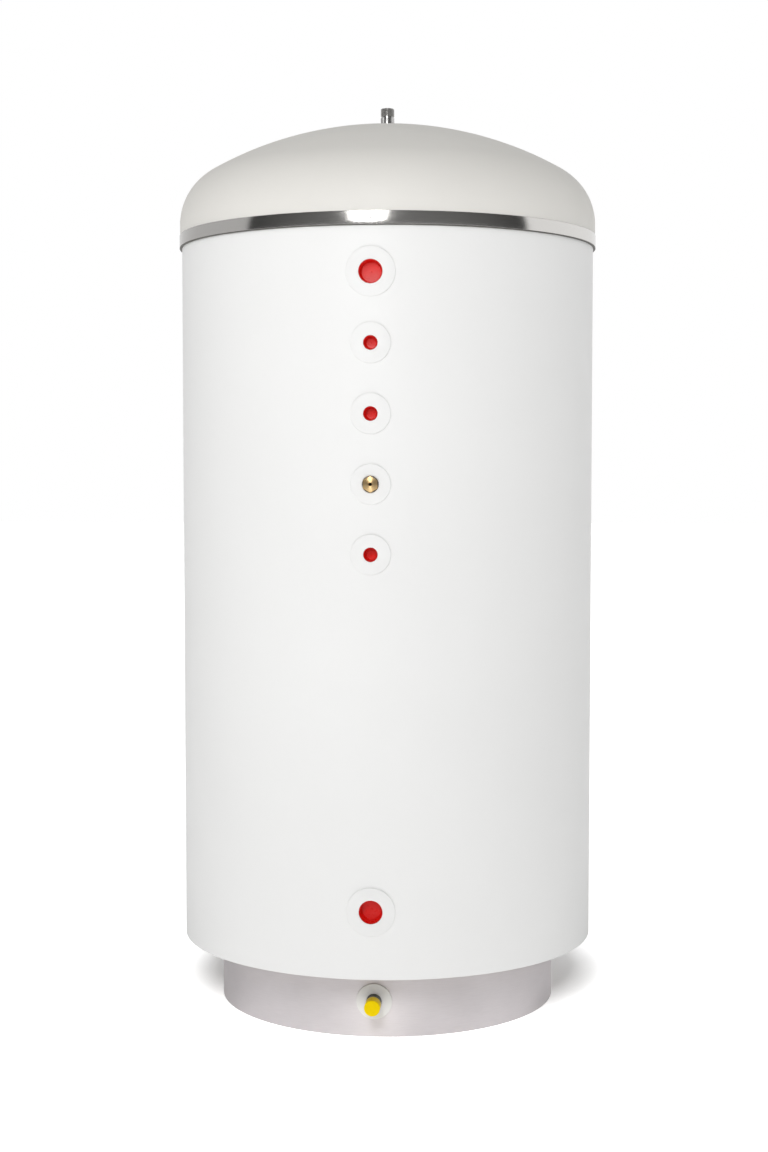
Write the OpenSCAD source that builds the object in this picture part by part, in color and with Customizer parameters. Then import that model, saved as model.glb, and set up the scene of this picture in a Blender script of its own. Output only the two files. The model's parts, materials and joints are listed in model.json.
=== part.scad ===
// Free-standing insulated hot-water storage cylinder of a solar heating system.
// Origin: centre of the base ring on the floor. +Z is up and the ports face -Y. Millimetres.

/* [Jacket] */
// Outer radius of the insulated jacket
jacket_r = 500; // [460:1:560]
// Sheet thickness of the jacket
jacket_t = 1.5; // [1:0.1:2.5]
// Height of the jacket's lower edge above the floor
jacket_bottom_z = 157; // [140:1:180]
// Width of the strip that covers the jacket's joint at the back
seam_w = 40; // [25:1:60]
// Thickness of that strip
seam_t = 1.5; // [1:0.1:3]

/* [Vessel] */
// Outer radius of the steel vessel
vessel_r = 406; // [380:1:420]
// Wall of the vessel
vessel_t = 3; // [2:0.5:5]
// Length of the straight shell between the two welds
shell_len = 1500; // [1300:1:1700]
// Knuckle radius of the dished ends
head_knuckle = 80; // [65:1:95]
// Crown radius of the dished ends
head_crown = 812; // [700:1:950]
// Straight flange of the dished ends
head_flange = 12; // [10:1:20]
// Height of the vessel's lowest point above the floor
vessel_clear = 105.5; // [95:0.5:130]

/* [Base ring] */
// Wall of the base ring
skirt_t = 2; // [1.5:0.1:3]
// Lap of the base ring on the flange of the bottom end
skirt_lap = 8; // [5:1:9]

/* [Dome cover] */
// Height of the dome's seat above the upper weld
rim_rise = 53; // [45:1:65]
// How far the rim ring stands out past the jacket
rim_overhang = 6; // [4:0.5:10]
// Thickness of the rim ring
rim_t = 2; // [1.5:0.1:4]
// Width of the rim ring that lies on the insulation
rim_seat = 24; // [15:1:40]
// Wall of the dome cover
dome_t = 3; // [2:0.5:5]
// Straight skirt of the dome below its knuckle
dome_straight = 56; // [45:1:80]
// Knuckle radius of the dome
dome_knuckle = 140; // [110:1:170]
// Crown radius of the dome
dome_crown = 866; // [780:1:950]
// Height of the trim band
band_h = 29; // [20:1:36]
// Sheet thickness of the trim band
band_t = 1; // [0.8:0.1:2]
// Radius of the band's rivet heads
rivet_head_r = 3.5; // [3:0.1:5]
// Height of the rivet heads
rivet_head_h = 1.5; // [1:0.1:2.5]
// Radius of the rivet shanks
rivet_shank_r = 1.6; // [1.2:0.1:2.4]

/* [Top nipple] */
// Radius over the nipple's thread, a one-inch pipe thread
nipple_r = 16.62; // [14:0.01:20]
// Wall of the nipple
nipple_t = 3; // [2:0.1:4]
// Length of the nipple's thread
nipple_thread = 20; // [15:1:26]
// How far the nipple stands above the dome
nipple_rise = 48.5; // [40:0.5:60]
// Width of the run-out groove under the thread
groove_w = 2.5; // [1.5:0.1:4]
// Depth of that groove
groove_d = 1.8; // [0.5:0.1:2]
// How far the nipple reaches into the vessel
nipple_inside = 10; // [5:1:20]
// Width of rubber between the nipple and the dome
grommet_w = 4; // [3:0.5:8]
// Lip of the grommet on the dome
grommet_lip = 3; // [2:0.5:5]
// Height of that lip
grommet_h = 2; // [1.5:0.1:4]

/* [Ports] */
// Hot outlet below the upper weld
outlet_drop = 47; // [42:1:70]
// Spacing of the ports down the front
port_pitch = 155; // [130:1:175]
// Cold inlet above the lower weld
inlet_rise = 36; // [32:1:60]
// How far the sockets reach into the vessel
boss_inside = 8; // [5:1:15]
// How far the socket mouths lie behind the jacket's face
boss_setback = 1; // [0.5:0.1:3]
// Radius of the large sockets
large_boss_r = 29; // [28:0.1:32]
// Counterbore radius of the large sockets, which takes the plug
large_mouth_r = 26.6; // [25.8:0.1:27.4]
// Depth of that counterbore
large_mouth_depth = 26; // [20:1:30]
// Core radius of the large thread, one and a half inch
large_minor_r = 22.42; // [22:0.01:23]
// Length of the large thread
large_thread = 25; // [20:1:30]
// Waterway radius behind the large thread
large_way_r = 21; // [18:0.1:21.8]
// Radius of the small sockets
small_boss_r = 18; // [17.4:0.1:20]
// Counterbore radius of the small sockets
small_mouth_r = 16; // [15.4:0.1:16.8]
// Depth of that counterbore
small_mouth_depth = 23; // [18:1:28]
// Core radius of the small thread, three quarter inch
small_minor_r = 12.06; // [11.8:0.01:12.4]
// Length of the small thread
small_thread = 18; // [14:1:24]
// Radius of the lead-in of the sensor socket
sensor_lead_r = 13.3; // [12.8:0.1:14]
// Depth of that lead-in
sensor_lead = 1.2; // [0.8:0.1:2]

/* [Rosettes] */
// Radius of the collars round the large ports
large_rosette_r = 55; // [45:1:65]
// Radius of the collars round the small ports
small_rosette_r = 45; // [35:1:55]
// Thickness of the collars
rosette_t = 3; // [2:0.5:5]

/* [Plugs] */
// Wall of the tapered plugs
plug_t = 1; // [0.8:0.1:1.4]
// How much a plug narrows towards its closed end, on the radius
plug_draft = 2.9; // [2:0.1:3.1]
// How far a plug's open end stands out of its socket
plug_proud = 1.6; // [1:0.1:2.4]

/* [Sensor pocket] */
// Width across the flats of the brass hexagon
hex_af = 32; // [28:0.5:36]
// Thickness of the hexagon
hex_h = 8; // [6:0.5:12]
// Raised collar left by the chamfer on the hexagon's face
hex_chamfer = 1.2; // [0.6:0.1:2]
// Thickness of the sealing washer
washer_t = 1.5; // [1:0.1:3]
// Length of the pocket's thread
spigot_len = 16; // [12:1:20]
// Outer radius of the pocket's tube
pocket_r = 5; // [4.5:0.1:7]
// Bore radius for the temperature sensor
pocket_bore_r = 3.5; // [3:0.1:4]
// Closed end of the pocket's tube
pocket_end = 3; // [2:0.5:6]

/* [Heating coil] */
// Outer radius of the coil's tube
coil_tube_r = 13.45; // [11.8:0.05:15]
// Wall of the coil's tube
coil_tube_t = 2.3; // [1.5:0.1:3]
// Distance from the vessel's wall to the middle of the coil's tube
coil_inset = 83; // [70:1:110]
// Turns of the coil
coil_turns = 7; // [4:1:8]
// Bend radius where the coil leaves its sockets
coil_bend = 45; // [38:1:54]
// Width of the bars that carry the coil
bar_w = 30; // [20:1:40]
// Thickness of those bars
bar_t = 6; // [4:0.5:8]
// How far the bars pass the coil's ends
bar_over = 24; // [18:1:40]

/* [Inlet diffuser] */
// Length of the diffuser tube inside the vessel
diffuser_len = 150; // [100:1:220]
// Wall of the diffuser tube
diffuser_t = 2; // [1.5:0.1:3]
// Radius of its outlet holes
diffuser_hole_r = 8; // [5:0.5:10]
// Spacing of its outlet holes
diffuser_pitch = 26; // [22:1:34]

/* [Drain] */
// Bend radius of the drain elbow
elbow_bend = 23; // [20:0.5:34]
// How far the drain nipple stands out of the base ring
drain_reach = 58; // [50:1:70]
// Wall of the drain pipe
drain_t = 3; // [2:0.1:4]
// Wall of the drain nipple, which is bored out at its end
drain_nipple_t = 2.6; // [2:0.1:3]
// Wall of the drain cap
cap_t = 1.2; // [0.8:0.1:2]
// Bare stretch of the drain nipple between its collar and its cap
cap_room = 24; // [10:1:26]
// Radius of the collar round the drain
drain_rosette_r = 41; // [35:1:55]

/* [Fits] */
// Clearance between nested pieces
seat_gap = 0.3; // [0.2:0.05:0.5]

/* [Hidden] */
$fn = 96;
arc_steps = 14;          // straight steps in each arc of a dished outline
coil_rings = 24;         // rings of the coil's tube in one turn
bend_rings = 6;          // rings in each end bend
tube_sides = 6;          // sides of the coil's tube
cut = 1;                 // how far a cutter runs past the face that it opens
front_reach = 0.6;       // share of a radius from which a cutter works on the front wall alone
diffuser_holes = 4;
bar_angles = [90, 210, 330];

// Radii, from the axis outwards
vessel_ir = vessel_r - vessel_t;
skirt_ir = vessel_r + seat_gap;
skirt_r = skirt_ir + skirt_t;
foam_r = jacket_r - jacket_t - seat_gap;
rim_r = jacket_r + rim_overhang;
dome_r = rim_r - band_t - seat_gap;
nipple_bore_r = nipple_r - nipple_t;
dome_hole_r = nipple_r + grommet_w;
boss_root = vessel_ir - boss_inside;
boss_face = jacket_r - boss_setback;
small_way_r = coil_tube_r - coil_tube_t;
coil_r = vessel_ir - coil_inset;
coil_outer_r = coil_r + coil_tube_r;
pocket_tip = coil_outer_r + 2 * pocket_r;
drain_bore_r = nipple_r - drain_t;
drain_nipple_bore_r = nipple_r - drain_nipple_t;
drain_weld = skirt_r + seat_gap;
drain_end = skirt_r + drain_reach;
cap_ir = nipple_r + seat_gap;
washer_r = hex_af / 2;

// Heights, from the floor up
head_h = dish_height(vessel_r, head_knuckle, head_crown);
lower_tangent_z = vessel_clear + head_h;
lower_weld_z = lower_tangent_z + head_flange;
upper_weld_z = lower_weld_z + shell_len;
upper_tangent_z = upper_weld_z + head_flange;
vessel_top_z = upper_tangent_z + head_h;
skirt_top_z = lower_tangent_z + skirt_lap;
rim_z = upper_weld_z + rim_rise;
dome_z = rim_z + rim_t;
dome_apex_z = dome_z + dome_straight + dish_height(dome_r, dome_knuckle, dome_crown);
nipple_top_z = dome_apex_z + nipple_rise;
drain_z = vessel_clear - elbow_bend;
hot_outlet_z = upper_weld_z - outlet_drop;
circulation_z = hot_outlet_z - port_pitch;
coil_flow_z = circulation_z - port_pitch;
sensor_z = coil_flow_z - port_pitch;
coil_return_z = sensor_z - port_pitch;
cold_inlet_z = lower_weld_z + inlet_rise;
band_mid_z = dome_z + band_h / 2;

// Points of an arc in the half plane (radius, height)
function arc(centre, r, from, to) =
    [for (i = [0 : arc_steps])
        let (a = from + (to - from) * i / arc_steps)
        centre + r * [cos(a), sin(a)]];

function dish_drop(r, knuckle, crown) = sqrt(pow(crown - knuckle, 2) - pow(r - knuckle, 2));
function dish_height(r, knuckle, crown) = crown - dish_drop(r, knuckle, crown);

// Outline of a dished end from its tangent line at height 0 to its crown on the axis.
// A wall inside it has the same centres, with all three radii less by the thickness.
function dish(r, knuckle, crown) =
    let (drop = dish_drop(r, knuckle, crown), meet = atan2(drop, r - knuckle),
         top = arc([0, -drop], crown, meet, 90))
    concat(arc([r - knuckle, 0], knuckle, 0, meet), [for (i = [1 : arc_steps - 1]) top[i]], [[0, crown - drop]]);

function reversed(list) = [for (i = [len(list) - 1 : -1 : 0]) list[i]];

// Wall of a dished end with a straight edge below its tangent line
function dish_wall(r, knuckle, crown, t, straight) =
    concat([[r, -straight]], dish(r, knuckle, crown),
           reversed(dish(r - t, knuckle - t, crown - t)), [[r - t, -straight]]);

// All that lies inside a dished end
function dish_solid(r, knuckle, crown, straight) =
    concat([[0, -straight], [r, -straight]], dish(r, knuckle, crown));

// Children drawn along +Z point out of the front at height z, with +Z measured from the axis
module at_port(z) {
    translate([0, 0, z]) rotate([90, 0, 0]) children();
}

module tube(outer, inner, z0, z1) {
    rotate_extrude() translate([inner, z0]) square([outer - inner, z1 - z0]);
}

module rod(r, z0, z1) {
    translate([0, 0, z0]) cylinder(r = r, h = z1 - z0);
}

// Cutters for all the sockets in a wall between two radii, each grown by a clearance
module socket_holes(from, to, grow) {
    for (z = [hot_outlet_z, cold_inlet_z]) at_port(z) rod(large_boss_r + grow, from, to);
    for (z = [circulation_z, coil_flow_z, sensor_z, coil_return_z]) at_port(z) rod(small_boss_r + grow, from, to);
}

module base_skirt() {
    color("silver")
    difference() {
        tube(skirt_r, skirt_ir, 0, skirt_top_z);
        at_port(drain_z) rod(nipple_r + 2 * seat_gap, skirt_r * front_reach, skirt_r + cut);
    }
}

module vessel_head() {
    rotate_extrude() polygon(dish_wall(vessel_r, head_knuckle, head_crown, vessel_t, head_flange));
}

module vessel_bottom_head() {
    color("gainsboro")
    difference() {
        translate([0, 0, lower_tangent_z]) mirror([0, 0, 1]) vessel_head();
        rod(drain_bore_r, vessel_clear - cut, vessel_clear + vessel_t + cut);
    }
}

module vessel_shell() {
    color("gainsboro")
    difference() {
        tube(vessel_r, vessel_ir, lower_weld_z, upper_weld_z);
        socket_holes(vessel_r * front_reach, vessel_r + cut, seat_gap);
    }
}

module vessel_top_head() {
    color("gainsboro")
    difference() {
        translate([0, 0, upper_tangent_z]) vessel_head();
        rod(nipple_r + seat_gap, vessel_top_z - vessel_t - cut, vessel_top_z + cut);
    }
}

// Rigid foam between the vessel and the jacket, stepped round the top of the base ring
module foam_body() {
    color("khaki")
    difference() {
        rotate_extrude() polygon([
            [skirt_r + seat_gap, jacket_bottom_z], [foam_r, jacket_bottom_z], [foam_r, rim_z],
            [skirt_ir, rim_z], [skirt_ir, skirt_top_z + seat_gap], [skirt_r + seat_gap, skirt_top_z + seat_gap]
        ]);
        socket_holes(vessel_r * front_reach, jacket_r, seat_gap);
    }
}

// Foam that fills the dome above the upper dished end
module foam_top() {
    inset = dome_t + seat_gap;
    color("khaki")
    difference() {
        translate([0, 0, dome_z + dome_straight]) rotate_extrude()
            polygon(dish_solid(dome_r - inset, dome_knuckle - inset, dome_crown - inset, dome_straight));
        translate([0, 0, upper_tangent_z]) rotate_extrude()
            polygon(dish_solid(vessel_r + seat_gap, head_knuckle + seat_gap, head_crown + seat_gap, head_flange));
        rod(nipple_r + seat_gap, upper_tangent_z, dome_apex_z);
    }
}

module outer_jacket() {
    color("whitesmoke")
    difference() {
        tube(jacket_r, jacket_r - jacket_t, jacket_bottom_z, rim_z);
        socket_holes(jacket_r * front_reach, jacket_r + cut, seat_gap);
    }
}

// Cover strip on the jacket's upright joint, bent to the jacket's curve
module jacket_seam_strip() {
    half_angle = asin(seam_w / 2 / jacket_r);
    color("white")
    rotate([0, 0, 90 - half_angle]) rotate_extrude(angle = 2 * half_angle)
        translate([jacket_r + seat_gap, jacket_bottom_z]) square([seam_t, rim_z - jacket_bottom_z]);
}

module rim_ring() {
    color("dimgray") tube(rim_r, foam_r - rim_seat, rim_z, dome_z);
}

// Cutters for the two rivets of the band, in front and behind
module at_rivets() {
    for (turn = [0, 180]) rotate([0, 0, turn]) at_port(band_mid_z) children();
}

module dome_cover() {
    color("lightgray")
    difference() {
        translate([0, 0, dome_z + dome_straight]) rotate_extrude()
            polygon(dish_wall(dome_r, dome_knuckle, dome_crown, dome_t, dome_straight));
        rod(dome_hole_r, dome_apex_z - 2 * dome_t, dome_apex_z + cut);
        at_rivets() rod(rivet_shank_r + seat_gap, dome_r * front_reach, dome_r + cut);
    }
}

module trim_band() {
    color("lightsteelblue")
    difference() {
        tube(rim_r, rim_r - band_t, dome_z, dome_z + band_h);
        at_rivets() rod(rivet_shank_r + seat_gap, rim_r * front_reach, rim_r + cut);
    }
}

module band_rivets() {
    color("silver")
    at_rivets() rotate_extrude() polygon([
        [0, dome_r - dome_t], [rivet_shank_r, dome_r - dome_t], [rivet_shank_r, rim_r],
        [rivet_head_r, rim_r], [rivet_head_r, rim_r + rivet_head_h / 2],
        [rivet_shank_r, rim_r + rivet_head_h], [0, rim_r + rivet_head_h]
    ]);
}

// Male-threaded pipe on the crown, with a run-out groove below the thread
module top_nipple() {
    thread_z = nipple_top_z - nipple_thread;
    root_z = vessel_top_z - nipple_inside;
    color("silver")
    rotate_extrude() polygon([
        [nipple_bore_r, root_z], [nipple_r, root_z], [nipple_r, thread_z - groove_w],
        [nipple_r - groove_d, thread_z - groove_w], [nipple_r - groove_d, thread_z],
        [nipple_r, thread_z], [nipple_r, nipple_top_z], [nipple_bore_r, nipple_top_z]
    ]);
}

module nipple_grommet() {
    inner = nipple_r + seat_gap;
    neck = dome_hole_r - seat_gap;
    lip_z = dome_apex_z + seat_gap;
    color("gray")
    rotate_extrude() polygon([
        [inner, dome_apex_z - dome_t], [neck, dome_apex_z - dome_t], [neck, lip_z],
        [dome_hole_r + grommet_lip, lip_z], [dome_hole_r, lip_z + grommet_h], [inner, lip_z + grommet_h]
    ]);
}

// Welded socket: counterbored mouth, thread core, and a narrower waterway behind it
module socket(outer, mouth, mouth_depth, minor, thread, way) {
    floor_z = boss_face - mouth_depth;
    thread_end = floor_z - thread;
    color("silver")
    rotate_extrude() polygon([
        [way, boss_root], [outer, boss_root], [outer, boss_face], [mouth, boss_face],
        [mouth, floor_z], [minor, floor_z], [minor, thread_end], [way, thread_end]
    ]);
}

module large_socket(z) {
    at_port(z) socket(large_boss_r, large_mouth_r, large_mouth_depth, large_minor_r, large_thread, large_way_r);
}

module small_socket(z) {
    at_port(z) socket(small_boss_r, small_mouth_r, small_mouth_depth, small_minor_r, small_thread, small_way_r);
}

module hot_outlet_boss() { large_socket(hot_outlet_z); }
module circulation_boss() { small_socket(circulation_z); }
module coil_flow_boss() { small_socket(coil_flow_z); }
module coil_return_boss() { small_socket(coil_return_z); }
module cold_inlet_boss() { large_socket(cold_inlet_z); }

// The sensor's socket is threaded from its mouth, behind a short lead-in
module sensor_boss() {
    at_port(sensor_z) socket(small_boss_r, sensor_lead_r, sensor_lead, small_minor_r,
                             small_thread + small_mouth_depth, small_way_r);
}

// Plastic collar bent to the wall that it lies on
module rosette(wall_r, r, hole_r) {
    inner = wall_r + seat_gap;
    intersection() {
        children();
        difference() {
            rod(r, inner * front_reach, inner + 2 * rosette_t);
            rod(hole_r, inner * front_reach - cut, inner + 2 * rosette_t + cut);
        }
    }
}

module rosette_at(z, wall_r, r, hole_r) {
    inner = wall_r + seat_gap;
    color("white")
    at_port(z) rosette(wall_r, r, hole_r)
        rotate([-90, 0, 0]) tube(inner + rosette_t, inner, -r - cut, r + cut);
}

module large_rosette(z) { rosette_at(z, jacket_r, large_rosette_r, large_mouth_r); }
module small_rosette(z) { rosette_at(z, jacket_r, small_rosette_r, small_mouth_r); }

module hot_outlet_rosette() { large_rosette(hot_outlet_z); }
module circulation_rosette() { small_rosette(circulation_z); }
module coil_flow_rosette() { small_rosette(coil_flow_z); }
module coil_return_rosette() { small_rosette(coil_return_z); }
module cold_inlet_rosette() { large_rosette(cold_inlet_z); }

// This collar clears the corners of the brass hexagon
module sensor_rosette() {
    rosette_at(sensor_z, jacket_r, small_rosette_r, hex_af / sqrt(3) + seat_gap);
}

module drain_rosette() {
    rosette_at(drain_z, skirt_r, drain_rosette_r, nipple_r + 2 * seat_gap);
}

// Tapered plug: a thin conical cup whose closed end rests on the counterbore's floor
module plug(mouth, mouth_depth) {
    lip = mouth - seat_gap;
    tip = lip - plug_draft;
    tip_z = boss_face - mouth_depth + seat_gap;
    lip_z = boss_face + plug_proud;
    color("red")
    rotate_extrude() polygon([
        [0, tip_z], [tip, tip_z], [lip, lip_z], [lip - plug_t, lip_z],
        [tip - plug_t, tip_z + plug_t], [0, tip_z + plug_t]
    ]);
}

module large_plug(z) { at_port(z) plug(large_mouth_r, large_mouth_depth); }
module small_plug(z) { at_port(z) plug(small_mouth_r, small_mouth_depth); }

module hot_outlet_plug() { large_plug(hot_outlet_z); }
module circulation_plug() { small_plug(circulation_z); }
module coil_flow_plug() { small_plug(coil_flow_z); }
module coil_return_plug() { small_plug(coil_return_z); }
module cold_inlet_plug() { large_plug(cold_inlet_z); }

// Brass hexagon with a threaded spigot and a closed tube for the sensor.
// A cone takes the corners off the hexagon's face.
module sensor_pocket() {
    seat_z = boss_face + washer_t;
    face_z = seat_z + hex_h;
    corner_r = hex_af / sqrt(3);
    spigot_r = small_minor_r - seat_gap;
    color("darkgoldenrod")
    at_port(sensor_z) difference() {
        union() {
            intersection() {
                translate([0, 0, seat_z]) rotate([0, 0, 30]) cylinder(r = corner_r, h = hex_h, $fn = 6);
                rotate_extrude() polygon([
                    [0, seat_z - cut], [corner_r + cut, seat_z - cut], [corner_r + cut, face_z - hex_chamfer - cut],
                    [hex_af / 2 - hex_chamfer, face_z], [0, face_z]
                ]);
            }
            rod(spigot_r, seat_z - spigot_len, seat_z + cut);
            rod(pocket_r, pocket_tip, seat_z);
        }
        rod(pocket_bore_r, pocket_tip + pocket_end, face_z + cut);
    }
}

module sensor_washer() {
    color("saddlebrown")
    at_port(sensor_z) tube(washer_r, small_minor_r, boss_face, boss_face + washer_t);
}

// Middle line of the coil: out of the lower socket, round a bend, up the turns, and back to the upper socket.
// The bend's circle touches the coil's circle from outside.
bend_y = sqrt(pow(coil_r + coil_bend, 2) - pow(coil_bend, 2));
bend_turn = asin(bend_y / (coil_r + coil_bend));
lead_angle = 90 - bend_turn;
coil_sweep = 360 * coil_turns - 2 * lead_angle;
coil_steps = coil_turns * coil_rings;
coil_rise = coil_flow_z - coil_return_z;

lead_in = concat([[0, -boss_root, coil_return_z]],
    [for (i = [0 : bend_rings - 1])
        let (a = 180 - bend_turn * i / bend_rings)
        [coil_bend + coil_bend * cos(a), -bend_y + coil_bend * sin(a), coil_return_z]]);
turns = [for (i = [0 : coil_steps])
    let (a = -90 + lead_angle + coil_sweep * i / coil_steps)
    [coil_r * cos(a), coil_r * sin(a), coil_return_z + coil_rise * i / coil_steps]];
lead_out = [for (p = reversed(lead_in)) [-p[0], p[1], coil_flow_z]];
coil_path = concat(lead_in, turns, lead_out);

// Least distance between turns, from points half a turn or more apart along the coil
coil_gap = min([for (i = [0 : coil_rings : coil_steps - coil_rings])
    min([for (j = [coil_rings / 2 : coil_steps - i]) norm(turns[i + j] - turns[i])])]) - 2 * coil_tube_r;
echo(least_gap_between_coil_turns = coil_gap);

function direction(path, i) =
    i == 0 || i == len(path) - 1 ? [0, i == 0 ? 1 : -1, 0]
    : let (d = path[i + 1] - path[i - 1]) d / norm(d);

function ring(path, i, r) =
    let (d = direction(path, i), side = cross(d, [0, 0, 1]), u = side / norm(side), v = cross(u, d))
    [for (k = [0 : tube_sides - 1]) path[i] + r * (cos(360 * k / tube_sides) * u + sin(360 * k / tube_sides) * v)];

// Two triangles for each side of each stretch, between rings that start at point index base
function skin(rings, base, out) =
    [for (i = [0 : rings - 2], k = [0 : tube_sides - 1])
        let (a = base + i * tube_sides + k, b = base + i * tube_sides + (k + 1) % tube_sides,
             c = b + tube_sides, d = a + tube_sides)
        each out ? [[a, c, b], [a, d, c]] : [[a, b, c], [a, c, d]]];

// Flat end of the tube between its outer and inner ring
function lip(outer, inner, out) =
    [for (k = [0 : tube_sides - 1])
        let (n = (k + 1) % tube_sides)
        each out ? [[outer + k, outer + n, inner + n], [outer + k, inner + n, inner + k]]
                 : [[outer + k, inner + n, outer + n], [outer + k, inner + k, inner + n]]];

module heating_coil() {
    rings = len(coil_path);
    inner_base = rings * tube_sides;
    last = (rings - 1) * tube_sides;
    color("silver")
    polyhedron(
        points = concat([for (i = [0 : rings - 1]) each ring(coil_path, i, coil_tube_r)],
                        [for (i = [0 : rings - 1]) each ring(coil_path, i, coil_tube_r - coil_tube_t)]),
        faces = concat(skin(rings, 0, true), skin(rings, inner_base, false),
                       lip(0, inner_base, true), lip(last, inner_base + last, false)));
}

// Upright flat bars outside the coil, each with two arms to the vessel's wall
module coil_supports() {
    bar_in = coil_outer_r + seat_gap;
    z0 = coil_return_z - bar_over;
    z1 = coil_flow_z + bar_over;
    arm_end = sqrt(pow(vessel_ir - seat_gap, 2) - pow(bar_w / 2, 2));
    color("silver")
    for (a = bar_angles) rotate([0, 0, a]) union() {
        translate([bar_in, -bar_w / 2, z0]) cube([bar_t, bar_w, z1 - z0]);
        for (z = [z0, z1 - bar_t]) translate([bar_in, -bar_w / 2, z]) cube([arm_end - bar_in, bar_w, bar_t]);
    }
}

// Closed tube with outlet holes above and below, which slows the cold water
module inlet_diffuser() {
    outer = large_way_r + diffuser_t;
    tip = boss_root - diffuser_len;
    color("silver")
    at_port(cold_inlet_z) difference() {
        rod(outer, tip, boss_root);
        rod(outer - diffuser_t, tip + diffuser_t, boss_root + cut);
        for (i = [1 : diffuser_holes])
            translate([0, 0, boss_root - diffuser_pitch * i]) rotate([90, 0, 0])
                cylinder(r = diffuser_hole_r, h = 2 * outer + 2 * cut, center = true);
    }
}

module drain_elbow() {
    color("silver")
    translate([0, -elbow_bend, vessel_clear]) rotate([0, 90, 0]) rotate_extrude(angle = 90)
        translate([elbow_bend, 0]) difference() {
            circle(r = nipple_r);
            circle(r = drain_bore_r);
        }
}

module drain_pipe() {
    color("silver") at_port(drain_z) tube(nipple_r, drain_bore_r, elbow_bend, drain_weld);
}

module drain_nipple() {
    color("silver") at_port(drain_z) tube(nipple_r, drain_nipple_bore_r, drain_weld, drain_end);
}

module drain_cap() {
    open_z = skirt_r + seat_gap + rosette_t + cap_room;
    end_z = drain_end + seat_gap;
    outer = cap_ir + cap_t;
    color("gold")
    at_port(drain_z) rotate_extrude() polygon([
        [cap_ir, open_z], [outer, open_z], [outer, end_z], [outer - cap_t, end_z + cap_t],
        [0, end_z + cap_t], [0, end_z], [cap_ir, end_z]
    ]);
}

base_skirt();
vessel_bottom_head();
vessel_shell();
vessel_top_head();
foam_body();
foam_top();
outer_jacket();
jacket_seam_strip();
rim_ring();
dome_cover();
trim_band();
band_rivets();
top_nipple();
nipple_grommet();
hot_outlet_boss();
circulation_boss();
coil_flow_boss();
sensor_boss();
coil_return_boss();
cold_inlet_boss();
hot_outlet_rosette();
circulation_rosette();
coil_flow_rosette();
sensor_rosette();
coil_return_rosette();
cold_inlet_rosette();
drain_rosette();
hot_outlet_plug();
circulation_plug();
coil_flow_plug();
coil_return_plug();
cold_inlet_plug();
sensor_pocket();
sensor_washer();
heating_coil();
coil_supports();
inlet_diffuser();
drain_elbow();
drain_pipe();
drain_nipple();
drain_cap();
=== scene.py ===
"""Looks of a free-standing insulated hot-water cylinder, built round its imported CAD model.

Metres, in the CAD frame: the origin is on the floor, +Z is up and the ports face -Y.
"""
import json
import math

import bmesh
import bpy
from mathutils import Matrix, Vector


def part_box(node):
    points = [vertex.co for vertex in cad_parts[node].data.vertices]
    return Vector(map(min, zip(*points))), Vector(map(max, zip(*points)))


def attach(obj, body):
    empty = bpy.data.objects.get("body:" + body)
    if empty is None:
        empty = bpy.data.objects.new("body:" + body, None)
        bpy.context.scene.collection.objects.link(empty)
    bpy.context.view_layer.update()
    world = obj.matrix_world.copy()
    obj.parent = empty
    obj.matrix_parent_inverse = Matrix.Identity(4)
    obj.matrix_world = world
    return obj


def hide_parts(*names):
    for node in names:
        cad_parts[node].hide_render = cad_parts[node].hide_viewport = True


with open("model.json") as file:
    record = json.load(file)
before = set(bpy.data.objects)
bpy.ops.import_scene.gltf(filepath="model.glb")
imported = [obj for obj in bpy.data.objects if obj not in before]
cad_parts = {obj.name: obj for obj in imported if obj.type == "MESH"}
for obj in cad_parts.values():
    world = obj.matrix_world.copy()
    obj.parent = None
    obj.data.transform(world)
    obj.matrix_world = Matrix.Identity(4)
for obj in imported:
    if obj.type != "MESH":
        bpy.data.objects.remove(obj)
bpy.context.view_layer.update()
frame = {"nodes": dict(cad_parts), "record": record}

MM = 0.001
TINY = 1e-7
CYLINDER = "cylinder"
NODES = frame["nodes"]
SLOT_OF = {part["node"]: part["material_slot"] for part in frame["record"]["subparts"]}

# Ports down the front, with the size of their sockets
PLUGGED_PORTS = {
    "hot_outlet": "large",
    "circulation": "small",
    "coil_flow": "small",
    "coil_return": "small",
    "cold_inlet": "large",
}

# Photograph's camera: picture size, focal length and how far the cylinder's axis lies from the
# picture's middle, all in pixels, then place and aim
PHOTO_W, PHOTO_H = 768, 1152
FOCAL_PX = 1851.1
AXIS_PX = 3.52
SENSOR_MM = 36
CAMERA_AZIMUTH = math.radians(4.3)
CAMERA_DISTANCE = 4.5715
EYE_HEIGHT = 1.2944
CAMERA_PITCH = math.radians(3.29)

# Sizes that the frame's boxes don't give
CLEARANCE = 0.3 * MM
JACKET_T = 1.5 * MM
SKIRT_T = 2 * MM
DOME_T = 3 * MM
DOME_STRAIGHT = 56 * MM
DOME_KNUCKLE = 140 * MM
DOME_CROWN = 866 * MM
DOME_HOLE_R = 20.62 * MM
BAND_T = 1 * MM
RIVET_SHANK_R = 1.6 * MM
RIVET_SHANK_LEN = 5 * MM
RIM_SEAT = 24 * MM
NIPPLE_WALL = 3 * MM
NIPPLE_THREAD = 20 * MM
GROOVE_W = 2.5 * MM
GROOVE_D = 1.8 * MM
GROMMET_NECK = 20.32 * MM
GROMMET_SLOPE = 3 * MM
PLUG_WALL = 1 * MM
PLUG_DRAFT = 2.9 * MM
GATE_R, GATE_TOP_R, GATE_H = 1.6 * MM, 1.12 * MM, 0.7 * MM
COLLAR_EDGE = 1.3 * MM
SOCKET_MOUTH = {"large": (26.6 * MM, 26 * MM), "small": (16 * MM, 23 * MM)}
SOCKET_CORE = {"large": (22.42 * MM, 25 * MM), "small": (12.06 * MM, 18 * MM)}
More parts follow.
